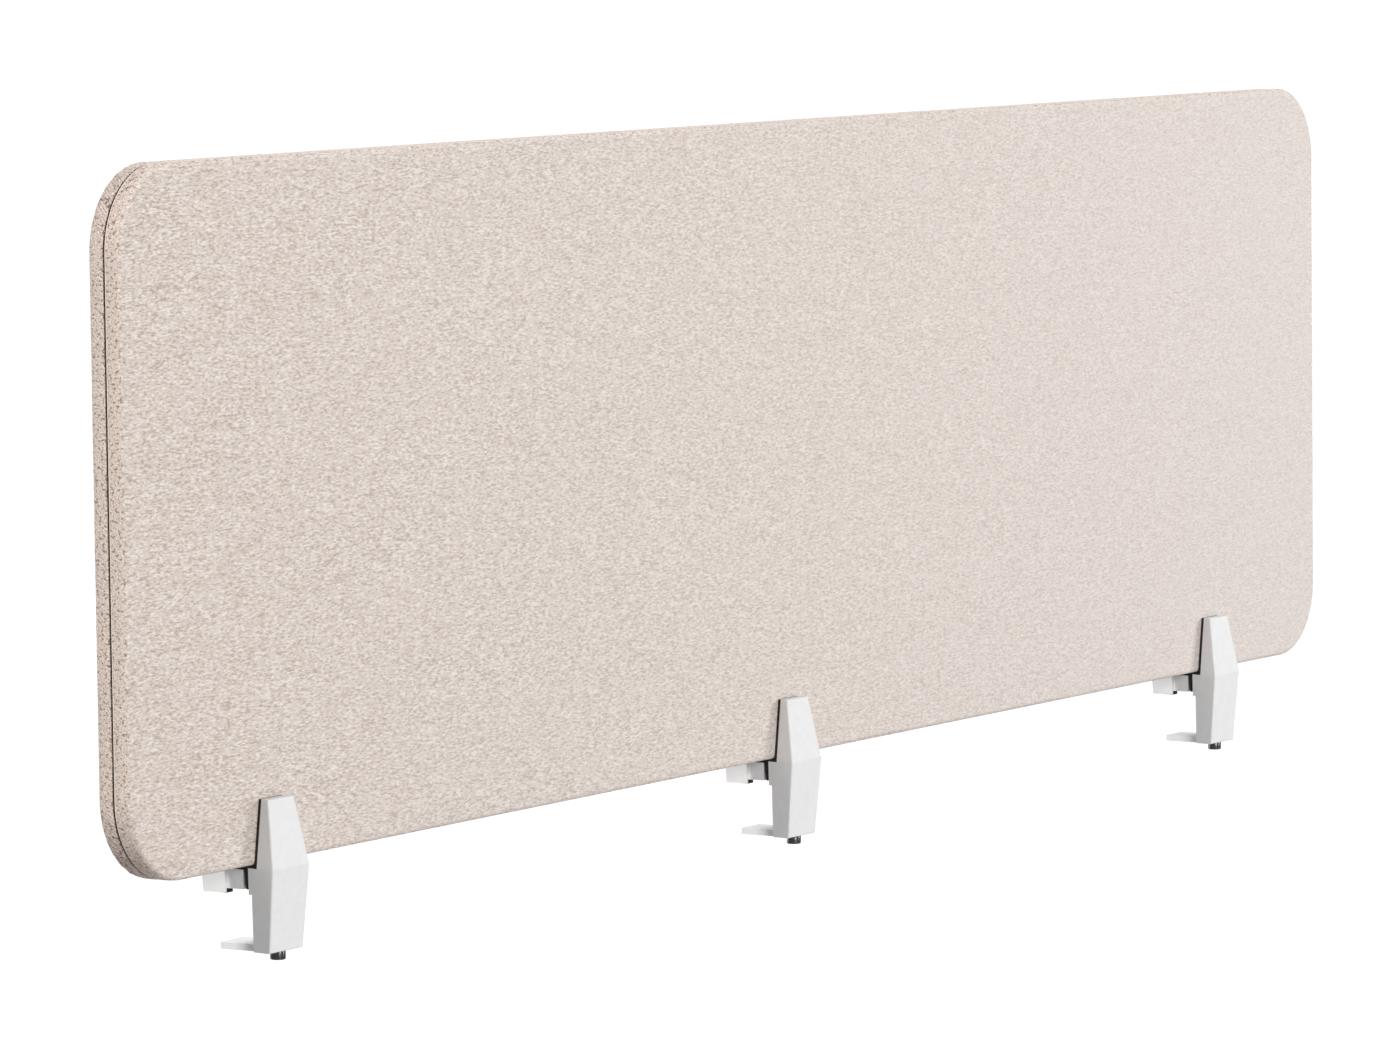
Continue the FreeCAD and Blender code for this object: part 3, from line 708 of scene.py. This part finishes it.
def pale_floor(name):
    """A pale matt surface that the camera sees nearly white."""
    material = bpy.data.materials.new(name)
    material.use_nodes = True
    tree = material.node_tree
    tree.nodes.clear()
    output = tree.nodes.new("ShaderNodeOutputMaterial")
    blend = tree.nodes.new("ShaderNodeMixShader")
    matt = tree.nodes.new("ShaderNodeBsdfDiffuse")
    glow = tree.nodes.new("ShaderNodeEmission")
    path = tree.nodes.new("ShaderNodeLightPath")
    share = tree.nodes.new("ShaderNodeMath")
    share.operation = "MULTIPLY"
    share.inputs[1].default_value = FLOOR_GLOW
    matt.inputs["Color"].default_value = (FLOOR_GREY, FLOOR_GREY, FLOOR_GREY, 1)
    glow.inputs["Strength"].default_value = GLOW_STRENGTH
    tree.links.new(path.outputs["Is Camera Ray"], share.inputs[0])
    tree.links.new(share.outputs[0], blend.inputs[0])
    tree.links.new(matt.outputs[0], blend.inputs[1])
    tree.links.new(glow.outputs[0], blend.inputs[2])
    tree.links.new(blend.outputs[0], output.inputs["Surface"])
    return material


floor_mesh = bpy.data.meshes.new("floor")
floor_corners = [(-1, -1), (1, -1), (1, 1), (-1, 1)]
floor_points = [(a * FLOOR_HALF, b * FLOOR_HALF, FLOOR_Z) for a, b in floor_corners]
floor_mesh.from_pydata(floor_points, [], [(0, 1, 2, 3)])
floor_mesh.materials.append(pale_floor("pale_floor"))
floor = bpy.data.objects.new("floor", floor_mesh)
bpy.context.scene.collection.objects.link(floor)

world = bpy.data.worlds.new("studio")
bpy.context.scene.world = world
world.use_nodes = True
sky = world.node_tree
sky.nodes.clear()
sky_output = sky.nodes.new("ShaderNodeOutputWorld")
background = sky.nodes.new("ShaderNodeBackground")
background.inputs["Color"].default_value = (1.0, 1.0, 1.0, 1.0)
sky_path = sky.nodes.new("ShaderNodeLightPath")
sky_span = sky.nodes.new("ShaderNodeMapRange")
sky_span.inputs["To Min"].default_value = SKY_LIGHT
sky_span.inputs["To Max"].default_value = 1.0
sky.links.new(sky_path.outputs["Is Camera Ray"], sky_span.inputs["Value"])
sky.links.new(sky_span.outputs["Result"], background.inputs["Strength"])
sky.links.new(background.outputs[0], sky_output.inputs["Surface"])


def lamp(name, place, target, size, power):
    """A square soft light of a size in metres and a power in watts, turned to its target."""
    data = bpy.data.lights.new(name, "AREA")
    data.size = size
    data.energy = power
    made = bpy.data.objects.new(name, data)
    bpy.context.scene.collection.objects.link(made)
    made.location = place
    way = Vector(target) - Vector(place)
    made.rotation_mode = "QUATERNION"
    made.rotation_quaternion = way.to_track_quat("-Z", "Y")
    return made


lamp("key", (-2.6, -5.2, 2.2), (0.0, 0.0, 0.2), size=2.0, power=162.0)
lamp("front_right", (3.0, -3.5, 1.5), (0.2, 0.0, 0.2), size=2.0, power=100.0)
lamp("left", (-5.4, 0.9, 4.6), (-0.4, 0.0, 0.1), size=1.0, power=250.0)
lamp("back_right", (3.2, 4.0, 2.6), (0.2, 0.0, 0.2), size=2.5, power=110.0)
lamp("back", (0.3, 5.2, 0.7), (0.0, 0.0, 0.2), size=2.0, power=60.0)

bpy.context.scene.view_settings.view_transform = "Standard"

camera_data = bpy.data.cameras.new("camera")
camera_data.sensor_width = 36.0
camera_data.lens = 190.907
camera_data.clip_start = 0.1
camera_data.clip_end = 1000.0
camera = bpy.data.objects.new("camera", camera_data)
bpy.context.scene.collection.objects.link(camera)
camera_place = (-4.4726, -2.7366, 0.6439)
# The camera's right, up and back in the row frame.
right = Vector((0.529122, -0.848469, -0.011389))
upward = Vector((0.080150, 0.036612, 0.996110))
backward = Vector((-0.844752, -0.527977, 0.087376))
camera_turn = Matrix((right, upward, backward)).transposed().to_4x4()
camera.matrix_world = Matrix.Translation(camera_place) @ camera_turn
bpy.context.scene.camera = camera
